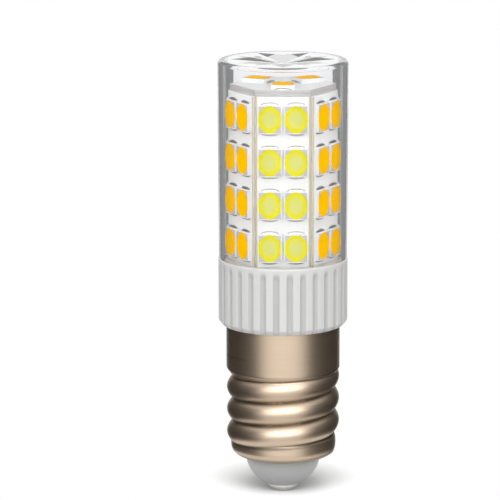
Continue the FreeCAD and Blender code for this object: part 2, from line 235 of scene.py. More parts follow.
def rounded(corners, steps=6):
    """Outline through (radius, height) corners; a third number rounds that corner by an arc."""
    points = []
    for index, corner in enumerate(corners):
        here = Vector(corner[:2])
        if len(corner) < 3:
            points.append(here)
            continue
        back = (Vector(corners[index - 1][:2]) - here).normalized()
        ahead = (Vector(corners[(index + 1) % len(corners)][:2]) - here).normalized()
        half = back.angle(ahead) / 2
        middle = here + (back + ahead).normalized() * (corner[2] / math.sin(half))
        start = here + back * (corner[2] / math.tan(half)) - middle
        end = here + ahead * (corner[2] / math.tan(half)) - middle
        sweep = start.angle(end)
        for step in range(steps + 1):
            share = step / steps
            weight = (math.sin((1 - share) * sweep), math.sin(share * sweep))
            points.append(middle + (start * weight[0] + end * weight[1]) / math.sin(sweep))
    return points


def sampled(points, spacing):
    """The same outline with points added so that no run is longer than the spacing."""
    dense = [points[0]]
    for before, after in zip(points, points[1:]):
        count = max(1, math.ceil((after - before).length / spacing))
        dense += [before.lerp(after, step / count) for step in range(1, count + 1)]
    return dense


def turn(outline, steps, closed=False):
    """Mesh turned about Z from an outline of (radius, height) points."""
    bm = bmesh.new()
    verts = [bm.verts.new((point[0], 0, point[1])) for point in outline]
    edges = [bm.edges.new(pair) for pair in zip(verts, verts[1:])]
    if closed:
        edges.append(bm.edges.new((verts[-1], verts[0])))
    bmesh.ops.spin(bm, geom=verts + edges, cent=(0, 0, 0), axis=(0, 0, 1), angle=math.tau,
                   steps=steps, use_merge=True)
    tidy(bm)
    return bm


def tidy(bm):
    """Merge doubled points and turn every face outwards."""
    bmesh.ops.remove_doubles(bm, verts=bm.verts[:], dist=1e-7)
    bmesh.ops.dissolve_degenerate(bm, dist=1e-8, edges=bm.edges[:])
    bmesh.ops.recalc_face_normals(bm, faces=bm.faces[:])


def everything(bm):
    return bm.verts[:] + bm.edges[:] + bm.faces[:]


def picked(parts, kind):
    return [part for part in parts if isinstance(part, kind)]


def soft_step(low, high, value):
    """Smooth rise from 0 to 1 between two values."""
    share = min(1.0, max(0.0, (value - low) / (high - low)))
    return share * share * (3 - 2 * share)


def soft_max(first, second, blend):
    """The larger number, with a smooth change over where the two are about equal."""
    return 0.5 * (first + second + math.hypot(first - second, blend))


def cell_point(half_width, half_length, cut, sharpness, turn_angle):
    """Point on a rounded rectangle whose corners may be cut off."""
    across, along = abs(math.cos(turn_angle)), abs(math.sin(turn_angle))
    slant = (half_width * across + half_length * along) / (half_width + half_length - cut)
    reach = (across ** sharpness + along ** sharpness + slant ** sharpness) ** (-1 / sharpness)
    return half_width * math.cos(turn_angle) * reach, half_length * math.sin(turn_angle) * reach


def cell_solid(half_width, half_length, rings):
    """Closed mesh through rings of (half width, half length, corner cut, sharpness, height).

    Its map spans an LED's face from 0 to 1 each way.
    """
    bm = turn([Vector((index + 1, index)) for index in range(len(rings))], LED_STEPS)
    for vert in bm.verts:
        *cell, height = rings[round(vert.co.z)]
        x, y = cell_point(*cell, math.atan2(vert.co.y, vert.co.x)) if cell[0] > 0 else (0, 0)
        vert.co = (x, y, height)
    tidy(bm)
    mark_creases(bm, 40)
    face_map = bm.loops.layers.uv.new("cell")
    for face in bm.faces:
        for loop in face.loops:
            point = loop.vert.co
            loop[face_map].uv = (0.5 + point.x / (2 * half_width), 0.5 + point.y / (2 * half_length))
    return bm


def mark_creases(bm, degrees):
    """Shade smoothly, with a crease at every edge that is sharper than the angle."""
    for face in bm.faces:
        face.smooth = True
    for edge in bm.edges:
        edge.smooth = len(edge.link_faces) != 2 or edge.calc_face_angle() < math.radians(degrees)


def mark_points(bm, name, measure):
    """Attribute of the mesh that holds what the measure says of each point."""
    layer = bm.verts.layers.float.new(name)
    for vert in bm.verts:
        vert[layer] = measure(vert)


def as_mesh(bm, name):
    mesh = bpy.data.meshes.new(name)
    bm.to_mesh(mesh)
    bm.free()
    return mesh


def add_object(name, bm, finish):
    """Object at the origin with this mesh and finish."""
    shown = bpy.data.objects.new(name, as_mesh(bm, name))
    shown.data.materials.append(finish)
    bpy.context.scene.collection.objects.link(shown)
    return shown


def add_piece(name, bm, finish, slot, *nodes):
    """Shown piece that stands for these nodes and moves with the bulb."""
    piece = add_object(name, bm, finish)
    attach(piece, BODY)
    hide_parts(*nodes)


def scattered(template, places):
    """One mesh with a copy of the template at each place."""
    bm = bmesh.new()
    for place in places:
        start = len(bm.verts)
        bm.from_mesh(template)
        bm.verts.ensure_lookup_table()
        bmesh.ops.transform(bm, matrix=place, verts=bm.verts[start:])
    return bm


# Shader nodes

def feed(tree, node, inputs):
    """Set a node's inputs to values, or link them where another node's output is given."""
    for socket, value in inputs.items():
        if isinstance(value, bpy.types.NodeSocket):
            tree.links.new(value, node.inputs[socket])
        else:
            node.inputs[socket].default_value = value


def add_node(tree, kind, inputs=None, **settings):
    """New node with its settings and inputs; returns its outputs."""
    node = tree.nodes.new(kind)
    for name, value in settings.items():
        setattr(node, name, value)
    feed(tree, node, inputs or {})
    return node.outputs


def add_math(tree, operation, *values):
    return add_node(tree, "ShaderNodeMath", dict(enumerate(values)), operation=operation)["Value"]


def add_vector_math(tree, operation, *values):
    return add_node(tree, "ShaderNodeVectorMath", dict(enumerate(values)), operation=operation)


def add_tones(tree, share, first, second):
    """Colour that goes from the first tone to the second."""
    inputs = {"Factor": share, "A": first, "B": second}
    return add_node(tree, "ShaderNodeMix", inputs, data_type="RGBA")["Result"]


def add_shaders(tree, share, first, second):
    """Shader that goes from the first one to the second."""
    return add_node(tree, "ShaderNodeMixShader", {"Fac": share, 1: first, 2: second})["Shader"]


def soft_ramp(tree, value, low, high, start=0.0, end=1.0):
    """Number that goes smoothly from start to end while the value rises from low to high."""
    inputs = {"Value": value, "From Min": low, "From Max": high, "To Min": start, "To Max": end}
    return add_node(tree, "ShaderNodeMapRange", inputs, interpolation_type="SMOOTHSTEP")["Result"]


def cell_offset(tree):
    """Place on an LED's face, from -0.5 to 0.5 each way."""
    cell = add_node(tree, "ShaderNodeUVMap", uv_map="cell")["UV"]
    return add_vector_math(tree, "SUBTRACT", cell, (0.5, 0.5, 0))["Vector"]


def seen_ray(tree):
    """1 for the rays that show a background: straight from the camera, off metal and through clear pieces."""
    rays = add_node(tree, "ShaderNodeLightPath")
    either = add_math(tree, "MAXIMUM", rays["Is Camera Ray"], rays["Is Glossy Ray"])
    return add_math(tree, "MAXIMUM", either, rays["Is Transmission Ray"])


# Finishes

def breakup_group():
    """Shared effect: uneven colour, gloss and relief at a given grain."""
    name = "uneven_surface"
    if name in bpy.data.node_groups:
        return bpy.data.node_groups[name]
    group = bpy.data.node_groups.new(name, "ShaderNodeTree")
    for label, kind, default in (
        ("Color", "Color", (0.8, 0.8, 0.8, 1.0)),
        ("Dark Color", "Color", (0.7, 0.7, 0.7, 1.0)),
        ("Scale", "Float", 1000.0),
        ("Stretch", "Vector", (1.0, 1.0, 1.0)),
        ("Roughness", "Float", 0.4),
        ("Rough Spread", "Float", 0.1),
    ):
        socket = group.interface.new_socket(label, in_out="INPUT", socket_type=f"NodeSocket{kind}")
        socket.default_value = default
    for label, kind in (("Color", "Color"), ("Roughness", "Float"), ("Height", "Float")):
        group.interface.new_socket(label, in_out="OUTPUT", socket_type=f"NodeSocket{kind}")
    given = add_node(group, "NodeGroupInput")
    place = add_node(group, "ShaderNodeTexCoord")["Object"]
    stretched = add_vector_math(group, "MULTIPLY", place, given["Stretch"])["Vector"]
    grain = add_node(group, "ShaderNodeTexNoise", {
        "Vector": stretched, "Scale": given["Scale"], "Detail": 4.0})["Fac"]
    add_node(group, "NodeGroupOutput", {
        "Color": add_tones(group, grain, given["Dark Color"], given["Color"]),
        "Roughness": add_math(group, "MULTIPLY_ADD", grain, given["Rough Spread"], given["Roughness"]),
        "Height": grain,
    })
    return group


def shaded(tone, share):
    return [channel * share for channel in tone]


def new_finish(name, constants):
    """Material whose constant values are set on the shader itself."""
    material = bpy.data.materials.new(name)
    material.use_nodes = True
    tree = material.node_tree
    shader = tree.nodes[PRINCIPLED]
    feed(tree, shader, constants)
    return material, tree, shader


def plain_finish(name, tone, constants=None, dark=0.9, grain=0.3 * MM, stretch=(1, 1, 1), roughness=0.4,
                 spread=0.1, relief=0.004 * MM, strength=0.5):
    """Material with the shared uneven surface at values of its own."""
    material, tree, shader = new_finish(name, constants or {})
    uneven = add_node(tree, "ShaderNodeGroup", {
        "Color": (*tone, 1),
        "Dark Color": (*shaded(tone, dark), 1),
        "Scale": 1 / grain,
        "Stretch": stretch,
        "Roughness": roughness - spread / 2,
        "Rough Spread": spread,
    }, node_tree=breakup_group())
    bump = add_node(tree, "ShaderNodeBump", {
        "Strength": strength, "Distance": relief, "Height": uneven["Height"]})
    feed(tree, shader, {
        "Base Color": uneven["Color"], "Roughness": uneven["Roughness"], "Normal": bump["Normal"]})
    return material


def add_blend(material, mask, tone):
    """Lay another tone over the base colour where the mask is 1."""
    tree = material.node_tree
    base = tree.nodes[PRINCIPLED].inputs["Base Color"]
    blended = add_tones(tree, mask, base.links[0].from_socket, (*tone, 1))
    tree.links.new(blended, base)
    return blended


def marked_finish(name, tone, mark, marked_tone, constants, **values):
    """Uneven finish with another tone where the mesh's own attribute marks the surface."""
    material = plain_finish(name, tone, constants, **values)
    marked = add_node(material.node_tree, "ShaderNodeAttribute", attribute_name=mark)
    add_blend(material, marked["Fac"], marked_tone)
    return material


def board_finish(name, tone, laminate):
    """White solder mask, with the bare laminate where the board is cut."""
    return marked_finish(name, tone, "cut_edge", laminate, {"Coat Weight": 0.15, "Coat Roughness": 0.2},
                         dark=0.955, grain=0.9 * MM, roughness=0.42, spread=0.12)


def cloth_finish(name, shade, deep_shade):
    """Dark cloth that is paler to light mirrored inside the cover."""
    material = plain_finish(name, shaded(WHITE, shade), dark=0.8, grain=0.01, roughness=0.9)
    tree = material.node_tree
    depth = add_node(tree, "ShaderNodeLightPath")["Ray Depth"]
    add_blend(material, add_math(tree, "GREATER_THAN", depth, DEEP_RAY), shaded(WHITE, deep_shade))
    return material


def phosphor_finish(name, edge, middle, painted_glow):
    """Silicone with phosphor: strong at the rim of the window and paler in the middle, which on the front
    copy is a painted reflection; it has a painted glow, an emission of its own.
    """
    constants = {"IOR": 1.41, "Specular IOR Level": 0.005, "Emission Strength": painted_glow}
    material = plain_finish(name, middle, constants, dark=0.93, grain=0.12 * MM, roughness=0.38, spread=0.12,
                            relief=0.003 * MM)
    tree = material.node_tree
    reach = add_vector_math(tree, "LENGTH", cell_offset(tree))["Value"]
    blended = add_blend(material, soft_ramp(tree, reach, 0.14, 0.48), edge)
    feed(tree, tree.nodes[PRINCIPLED], {"Emission Color": blended})
    return material


def housing_finish(tone, rim):
    """Moulded package whose rim and walls are paler: a painted highlight where its edges catch the light."""
    material = plain_finish("pale_package", tone, {"Coat Weight": 0.1}, dark=0.93, grain=0.25 * MM,
                            relief=0.003 * MM)
    tree = material.node_tree
    place = add_node(tree, "ShaderNodeSeparateXYZ", {"Vector": cell_offset(tree)})
    border = add_math(tree, "MAXIMUM", *(add_math(tree, "ABSOLUTE", place[axis]) for axis in ("X", "Y")))
    # Painted highlight along the package's rim and walls
    add_blend(material, soft_ramp(tree, border, 0.455, 0.475), rim)
    return material


def cover_finish(tone):
    """Clear plastic, faintly uneven from the mould. Light that its walls have mirrored once leaves them."""
    constants = {"Transmission Weight": 1.0, "IOR": 1.47, "Specular Tint": (0.12, 0.12, 0.12, 1)}
    material = plain_finish("clear_plastic", tone, constants, dark=0.985, grain=2.5 * MM, roughness=0.02,
                            spread=0.02, relief=0.002 * MM, strength=0.1)
    tree = material.node_tree
    plastic = tree.nodes[PRINCIPLED].outputs["BSDF"]
    opened = add_node(tree, "ShaderNodeBsdfTransparent")["BSDF"]
    rays = add_node(tree, "ShaderNodeLightPath")
    mirrored = add_shaders(tree, rays["Is Diffuse Ray"], opened, plastic)
    seen = add_shaders(tree, rays["Is Reflection Ray"], plastic, mirrored)
    feed(tree, tree.nodes["Material Output"], {"Surface": seen})
    return material


def subsurface(weight, radius):
    """Shader values for light that spreads a little under the surface."""
    return {"Subsurface Weight": weight, "Subsurface Radius": (radius,) * 3, "Subsurface Scale": 1.0}


# Operators

class CORN_BULB_OT_screw_shell(bpy.types.Operator):
    """Drawn shell with a rolled right-hand thread"""
    bl_idname = "corn_bulb.screw_shell"
    bl_label = "Screw shell"

    def execute(self, context):
        cap = context.scene.corn_bulb_cap
        colours = context.scene.corn_bulb_colours
        low, high = SHELL_LOW.z, SHELL_HIGH.z
        skirt_r = SHELL_HIGH.x
        root_r = cap.crest_r - cap.depth
        outline = rounded([
            (skirt_r, high),
            (skirt_r, cap.skirt_bottom, 0.5 * MM),
            (root_r, cap.skirt_bottom - cap.shoulder, 0.3 * MM),
            (root_r, cap.band_top, 0.15 * MM),
            (cap.band_r, cap.band_top - (cap.band_r - root_r), 0.3 * MM),
            (cap.band_r, low, cap.band_round),
            (cap.mouth_r, low),
        ], 8)
        bm = turn(sampled(outline, cap.pitch / THREAD_ROWS), THREAD_STEPS)
        mark_points(bm, "hollow", lambda vert: self.roll(vert, cap, root_r))
        bmesh.ops.recalc_face_normals(bm, faces=bm.faces[:])
        bmesh.ops.solidify(bm, geom=bm.faces[:], thickness=cap.wall)
        mark_creases(bm, 50)
        nickel = marked_finish("warm_nickel", colours.nickel, "hollow", colours.painted_thread_shade, METAL, dark=0.86,
                               grain=0.09 * MM, stretch=(0.02, 0.02, 1.0), roughness=0.42, spread=0.12,
                               relief=0.006 * MM, strength=0.35)
        add_piece("screw_shell_rolled", bm, nickel, "nickel_shell", "screw_shell")
        return {"FINISHED"}

    @staticmethod
    def roll(vert, cap, root_r):
        """Push a point of the plain shell out to the crest where that is higher; returns its painted shade.
        """
        x, y, z = vert.co
        radius = math.hypot(x, y)
        turn_share = (math.atan2(y, x) % math.tau) / math.tau
        phase = (z - cap.first_crest) / cap.pitch - turn_share
        crest_z = cap.first_crest + (round(phase) + turn_share) * cap.pitch
        run_in = 1 - soft_step(*THREAD_START, crest_z - cap.skirt_bottom)
        run_out = soft_step(*THREAD_END, crest_z - cap.band_top)
        wave = abs(math.cos(math.pi * phase)) ** CREST_POWER
        lift = cap.depth * wave * run_in * run_out
        if lift > LEAST_LIFT and cap.band_top - THREAD_TAIL < z < cap.skirt_bottom:
            grown = soft_max(radius, min(radius, root_r) + lift, ROOT_BLEND) / radius
            vert.co.x, vert.co.y = x * grown, y * grown
        # Painted shade, darkest across the middle of each groove and along the shell's closed end
        groove = soft_step(*PAINTED_SHADE_GROOVE, abs(phase - round(phase))) * run_in
        groove *= soft_step(*PAINTED_SHADE_END, z - cap.band_top)
        end_rim = 1 - soft_step(*PAINTED_SHADE_RIM, z - SHELL_LOW.z)
        return max(groove, end_rim)


class CORN_BULB_OT_cap_end(bpy.types.Operator):
    """Insulator cup and the riveted centre contact in it"""
    bl_idname = "corn_bulb.cap_end"
    bl_label = "Cap end"

    def execute(self, context):
        cap = context.scene.corn_bulb_cap
        colours = context.scene.corn_bulb_colours
        bottom, top = CUP_LOW.z, CUP_HIGH.z
        floor = bottom + 1.2 * MM
        flange_low, flange_r = SHELL_LOW.z + cap.wall, CUP_HIGH.x
        hole_r, cavity_r = 1.05 * MM, 2.5 * MM
        cup = turn(rounded([
            (hole_r, bottom),
            *self.bowl(cap, bottom),
            (cap.cup_r, flange_low),
            (flange_r, flange_low, 0.1 * MM),
            (flange_r, top, 0.2 * MM),
            (cavity_r, top, 0.2 * MM),
            (cavity_r, floor, 0.4 * MM),
            (hole_r, floor),
        ], 10), 128, closed=True)
        mark_creases(cup, 40)
        moulding = plain_finish("grey_moulding", colours.insulator, subsurface(0.25, 0.6 * MM), dark=0.94,
                                grain=0.8 * MM, roughness=0.32, spread=0.08, relief=0.003 * MM)
        add_piece("insulator_cup", cup, moulding, "grey_insulator", "insulator")
        face_r, rim_r = 1.3 * MM, CONTACT_HIGH.x
        shank_r, flare_r, bore_r = 1.0 * MM, 1.4 * MM, 0.45 * MM
        contact = turn(rounded([
            (0, CONTACT_LOW.z),
            (face_r, CONTACT_LOW.z, 0.5 * MM),
            (rim_r, bottom - 0.3 * MM, 0.2 * MM),
            (rim_r, bottom),
            (shank_r, bottom),
            (shank_r, floor),
            (flare_r, floor, 0.05 * MM),
            (shank_r, CONTACT_HIGH.z, 0.1 * MM),
            (bore_r, CONTACT_HIGH.z),
            (bore_r, bottom),
            (0, bottom),
        ], 5), 72)
        mark_creases(contact, 40)
        plate = plain_finish("plated_contact", (0.62, 0.61, 0.58), METAL, dark=0.85, grain=0.2 * MM,
                             roughness=0.34, spread=0.2, relief=0.005 * MM)
        add_piece("centre_contact_rivet", contact, plate, "contact_metal", "centre_contact")
        return {"FINISHED"}

    @staticmethod
    def bowl(cap, bottom, steps=20):
        """Half-ellipse outline from the flat at the cup's end up to the shell's mouth."""
        arc_end = math.acos(cap.cup_end_r / cap.cup_r)
        depth = (SHELL_LOW.z - bottom) / math.sin(arc_end)
        angles = [arc_end * (1 - step / steps) for step in range(steps + 1)]
        return [(cap.cup_r * math.cos(angle), SHELL_LOW.z - depth * math.sin(angle)) for angle in angles]


class CORN_BULB_OT_ribbed_body(bpy.types.Operator):
    """White body with upright ribs, a seat for the boards and a neck for the cap"""
    bl_idname = "corn_bulb.ribbed_body"
    bl_label = "Ribbed body"

    def execute(self, context):
        ring = context.scene.corn_bulb_ring
        cover = context.scene.corn_bulb_cover
        colours = context.scene.corn_bulb_colours
        top, body_r = RING_HIGH.z, RING_HIGH.x
        groove_low, groove_r = COVER_LOW.z, cover.foot_r + 0.05 * MM
        lip_r = cover.bore_r - 0.1 * MM
        row_height, rib_steps = 0.35 * MM, 24
        outside = rounded([
            (ring.neck_r, ring.bottom),
            (ring.bevel_r, ring.bottom, 0.15 * MM),
            (body_r, ring.bottom + ring.bevel_height, 0.2 * MM),
            (body_r, top, 0.18 * MM),
            (groove_r, top),
        ], 5)
        inside = rounded([
            (groove_r, groove_low),
            (lip_r, groove_low),
            (lip_r, top),
            (ring.seat_corner_r, top),
            (ring.seat_corner_r, top - ring.seat),
            (ring.bore_r, top - ring.seat),
            (ring.bore_r, RING_LOW.z),
            (ring.neck_r, RING_LOW.z),
        ])
        bm = turn(sampled(outside, row_height) + inside, ring.ribs * rib_steps, closed=True)
        mark_points(bm, "hollow", lambda vert: self.shape(vert, ring, body_r, top))
        mark_creases(bm, 38)
        # Painted shade: the hollows between the ribs are a little darker, as if less light reached them
        white = marked_finish("white_ceramic", colours.ring, "hollow", colours.groove,
                              subsurface(0.15, 0.5 * MM), dark=0.95, grain=0.6 * MM, roughness=0.33)
        add_piece("ribbed_body_fluted", bm, white, "white_ceramic", "ribbed_body")
        return {"FINISHED"}

    @staticmethod
    def shape(vert, ring, body_r, top):
        """Sink the flutes into the outside, square the seat to the boards; returns the painted shade for the
        hollow.
        """
        x, y, z = vert.co
        radius = math.hypot(x, y)
        angle = math.atan2(y, x)
        wanted = radius
        shade = 0.0
        if radius > ring.bevel_r and z < top - 0.1 * MM and radius > body_r - ring.bevel_height:
            place = angle / math.tau * ring.ribs
            off = (place - round(place)) * math.tau / ring.ribs * body_r
            hollow = math.sqrt(max(0, ring.flute_r ** 2 - off ** 2)) - ring.flute_r + ring.flute_depth
            sunk = max(0, hollow) * (1 - soft_step(top - ring.rim - ring.flute_depth, top - ring.rim, z))
            wanted = min(radius, body_r - sunk)
            shade = min(1.0, sunk / ring.flute_depth * 2)  # full from half the depth on
        elif abs(radius - ring.seat_corner_r) < 0.01 * MM:
            sector = math.tau / SIDES
            from_flat = (angle % sector) - sector / 2
            wanted = ring.seat_corner_r * math.cos(sector / 2) / math.cos(from_flat)
        if wanted != radius:
            vert.co.x, vert.co.y = x * wanted / radius, y * wanted / radius
        return shade


class CORN_BULB_OT_clear_cover(bpy.types.Operator):
    """Clear cover with a cut star in its top"""
    bl_idname = "corn_bulb.clear_cover"
    bl_label = "Clear cover"

    def execute(self, context):
        cover = context.scene.corn_bulb_cover
        top, top_r = COVER_HIGH.z, COVER_HIGH.x
        ceiling = top - cover.ceiling
        body_top = RING_HIGH.z
        star_rim_r = cover.star_tip_r + 0.15 * MM
        bm = turn(rounded([
            (star_rim_r, ceiling),
            (cover.bore_r, ceiling, 0.2 * MM),
            (cover.bore_r, COVER_LOW.z),
            (cover.foot_r, COVER_LOW.z),
            (cover.foot_r, body_top),
            (cover.low_r, body_top, 0.08 * MM),
            (top_r, top, cover.edge_round),
            (star_rim_r, top),
        ], 10), 192)
        mark_creases(bm, 35)
        for height, first in ((ceiling, 1), (top, 0)):
            self.sink_star(bm, cover, height, first)
        bmesh.ops.recalc_face_normals(bm, faces=bm.faces[:])
        finish = cover_finish(context.scene.corn_bulb_colours.cover)
        add_piece("clear_cover_star", bm, finish, "clear_plastic", "clear_cover")
        return {"FINISHED"}

    @staticmethod
    def sink_star(bm, cover, height, first):
        """Close the opening at this height with a flat rim and flat facets that fall to the middle."""
        rim = [edge for edge in bm.edges
               if edge.is_boundary and abs(edge.verts[0].co.z - height) < 0.01 * MM]
        tips = []
        for index in range(2 * SIDES):
            radius = cover.star_valley_r if (index + first) % 2 else cover.star_tip_r
            angle = index * math.tau / (2 * SIDES)
            tips.append(bm.verts.new((radius * math.cos(angle), radius * math.sin(angle), height)))
        star = [bm.edges.new((tips[index - 1], tips[index])) for index in range(len(tips))]
        bmesh.ops.triangle_fill(bm, use_beauty=True, edges=rim + star, normal=(0, 0, 1))
        grown = bmesh.ops.extrude_edge_only(bm, edges=star)["geom"]
        middle = picked(grown, bmesh.types.BMVert)
        bmesh.ops.pointmerge(bm, verts=middle, merge_co=(0, 0, height - cover.star_depth))


class CORN_BULB_OT_boards(bpy.types.Operator):
    """Six side boards in a hexagon and the board that lies on them"""
    bl_idname = "corn_bulb.boards"
    bl_label = "LED boards"

    def execute(self, context):
        leds = context.scene.corn_bulb_leds
        colours = context.scene.corn_bulb_colours
        mask = board_finish("white_solder_mask", colours.board, colours.laminate)
        top_mask = board_finish("white_top_mask", colours.board, colours.laminate_top)
        for index in range(SIDES):
            number = index + 1
            bm = self.side_board(leds)
            turned = Matrix.Rotation(index * math.tau / SIDES, 4, "Z")
            bmesh.ops.transform(bm, matrix=turned, verts=bm.verts[:])
            add_piece(f"side_board_masked_{number}", bm, mask, "white_board", f"side_board_{number}")
        add_piece("top_board_masked", self.top_board(), top_mask, "white_board", "top_board")
        return {"FINISHED"}

    @staticmethod
    def side_board(leds):
        """Front board: mitred long edges, with a flat cut along each corner of the column."""
        apothem = -BOARD_LOW.y
        back = apothem - leds.board
        half_sector = math.pi / SIDES
        sine, cosine = math.sin(half_sector), math.cos(half_sector)
        bm = bmesh.new()
        outline = []
        for side, depth in ((-1, apothem), (1, apothem), (1, back), (-1, back)):
            half = depth * math.tan(half_sector) - leds.mitre_gap
            outline.append(bm.verts.new((side * half, -depth, BOARD_LOW.z)))
        face = bm.faces.new(outline)
        grown = bmesh.ops.extrude_face_region(bm, geom=[face])["geom"]
        rise = Vector((0, 0, BOARD_HIGH.z - BOARD_LOW.z))
        bmesh.ops.translate(bm, vec=rise, verts=picked(grown, bmesh.types.BMVert))
        corner_r = apothem / cosine - leds.corner_flat
        for side in (-1, 1):
            outward = Vector((side * sine, -cosine, 0))
            cut = bmesh.ops.bisect_plane(bm, geom=everything(bm), plane_co=outward * corner_r,
                                         plane_no=outward, clear_outer=True)
            bmesh.ops.holes_fill(bm, edges=picked(cut["geom_cut"], bmesh.types.BMEdge), sides=0)
        bmesh.ops.bevel(bm, geom=bm.edges[:], offset=0.04 * MM, segments=2, profile=0.5, affect="EDGES",
                        material=-1)
        tidy(bm)
        mark_creases(bm, 25)
        cut_from = corner_r - 0.008 * MM
        mark_points(bm, "cut_edge",
                    lambda vert: float(abs(vert.co.x) * sine - vert.co.y * cosine > cut_from))
        return bm

    @staticmethod
    def top_board():
        """Six-sided board of two pressed layers with a fine seam round its edge."""
        corner_r = TOP_HIGH.x
        low, high = TOP_LOW.z, TOP_HIGH.z
        seam = 0.5 * (low + high)
        groove = 0.05 * MM
        mask_edge = 0.1 * MM
        bm = turn(rounded([
            (0, low),
            (corner_r, low, 0.04 * MM),
            (corner_r, seam - groove),
            (corner_r - groove, seam),
            (corner_r, seam + groove),
            (corner_r, high, 0.05 * MM),
            (corner_r - mask_edge, high),
            (0, high),
        ], 2), SIDES)
        mark_creases(bm, 25)
        cut_from = corner_r - 0.06 * MM
        mark_points(bm, "cut_edge", lambda vert: float(math.hypot(vert.co.x, vert.co.y) > cut_from))
        return bm


class CORN_BULB_OT_leds(bpy.types.Operator):
    """LED packages, their phosphor and their solder on every board"""
    bl_idname = "corn_bulb.leds"
    bl_label = "LED packages"

    def execute(self, context):
        leds = context.scene.corn_bulb_leds
        colours = context.scene.corn_bulb_colours
        housing = housing_finish(colours.housing, colours.housing_rim_highlight)
        # Painted light: the front board's phosphors are a lit copy of the amber ones on the other boards
        painted_lit_phosphor = phosphor_finish("painted_lit_lemon_phosphor", colours.painted_lit_lemon_edge, colours.painted_lit_lemon_middle, 0.0)
        # Painted glow: the amber phosphors give a faint light of their own
        amber = phosphor_finish("amber_phosphor", colours.amber_edge, colours.amber_middle, 0.12)
        tin = plain_finish("bright_tin", colours.solder, METAL, dark=0.85, grain=0.2 * MM, roughness=0.3,
                           spread=0.15)
        makers = {"housings": self.housing, "phosphors": self.phosphor, "solder": self.solder}
        templates = {kind: as_mesh(make(leds), f"{kind}_template") for kind, make in makers.items()}
        slots = {"housings": "led_housing", "phosphors": "led_phosphor", "solder": "solder"}
        groups = {str(index + 1): self.side_places(leds, index) for index in range(SIDES)}
        groups["top"] = self.top_places(leds)
        for label, places in groups.items():
            finishes = {"housings": housing, "phosphors": painted_lit_phosphor if label == "1" else amber, "solder": tin}
            for kind, template in templates.items():
                add_piece(f"led_{kind}_shown_{label}", scattered(template, places), finishes[kind],
                          slots[kind], f"led_{kind}_{label}")
        for template in templates.values():
            bpy.data.meshes.remove(template)
        return {"FINISHED"}

    @staticmethod
    def side_places(leds, index):
        """Places of the LEDs on one side board."""
        stand = Matrix.Rotation(math.pi / 2, 4, "X")
        turned = Matrix.Rotation(index * math.tau / SIDES, 4, "Z")
        column = LEDS_HIGH.x - leds.width / 2
        first, last = LEDS_LOW.z + leds.length / 2, LEDS_HIGH.z - leds.length / 2
        heights = [first + (last - first) * row / (ROWS - 1) for row in range(ROWS)]
        return [turned @ Matrix.Translation((x, BOARD_LOW.y, height)) @ stand
                for height in heights for x in (-column, column)]

    @staticmethod
    def top_places(leds):
        """Places of the LEDs on the top board, each with its length along a radius."""
        ring_r = -TOP_LEDS_LOW.y - leds.length / 2
        lie = Matrix.Translation((0, -ring_r, TOP_HIGH.z))
        return [Matrix.Rotation(index * math.tau / TOP_LEDS, 4, "Z") @ lie for index in range(TOP_LEDS)]

    @staticmethod
    def housing(leds):
        """Package with softened edges and an open window with sloping walls."""
        half_w, half_l, high = leds.width / 2, leds.length / 2, leds.height
        win_w, win_l, cut = half_w - leds.margin, half_l - leds.margin, leds.window_cut
        soft = slope = 0.04 * MM
        floor = high - WINDOW_DEPTH
        return cell_solid(half_w, half_l, [
            (0, 0, 0, 1, 0),
            (half_w, half_l, 0, SQUARE, 0),
            (half_w, half_l, 0, SQUARE, high - soft),
            (half_w - soft / 3, half_l - soft / 3, 0, SQUARE, high - soft / 3),
            (half_w - soft, half_l - soft, 0, SQUARE, high),
            (win_w, win_l, cut, WINDOW, high),
            (win_w - slope, win_l - slope, cut, WINDOW, floor),
            (0, 0, 0, 1, floor),
        ])

    @staticmethod
    def phosphor(leds):
        """Fill of the window with a slightly hollow face and a map centred on it."""
        half_w, half_l = leds.width / 2 - leds.margin, leds.length / 2 - leds.margin
        cut = leds.window_cut
        floor, face = leds.height - WINDOW_DEPTH, leds.height - leds.recess
        sag = slope = 0.05 * MM
        return cell_solid(half_w, half_l, [
            (0, 0, 0, 1, floor),
            (half_w - slope, half_l - slope, cut, WINDOW, floor),
            (half_w, half_l, cut, WINDOW, face),
            (half_w * 0.9, half_l * 0.92, cut * 0.9, 8, face - sag * 0.35),
            (half_w * 0.7, half_l * 0.74, cut * 0.8, 6, face - sag * 0.8),
            (half_w * 0.35, half_l * 0.37, cut * 0.5, 4, face - sag),
            (0, 0, 0, 1, face - sag),
        ])

    @staticmethod
    def solder(leds):
        """Two low fillets, one at each end of a package."""
        bm = bmesh.new()
        bmesh.ops.create_uvsphere(bm, u_segments=20, v_segments=10, radius=1.0)
        reach = (leds.solder_width / 2, leds.solder_reach, leds.solder_height)
        bmesh.ops.scale(bm, vec=reach, verts=bm.verts[:])
        for kept_side in ((0, 0, 1), (0, 1, 0)):
            bmesh.ops.bisect_plane(bm, geom=everything(bm), plane_co=(0, 0, 0), plane_no=kept_side,
                                   clear_inner=True)
            bmesh.ops.holes_fill(bm, edges=[edge for edge in bm.edges if edge.is_boundary], sides=0)
        bmesh.ops.translate(bm, vec=(0, leds.length / 2, 0), verts=bm.verts[:])
        bmesh.ops.mirror(bm, geom=everything(bm), axis="Y", merge_dist=1e-8)
        tidy(bm)
        mark_creases(bm, 40)
        return bm


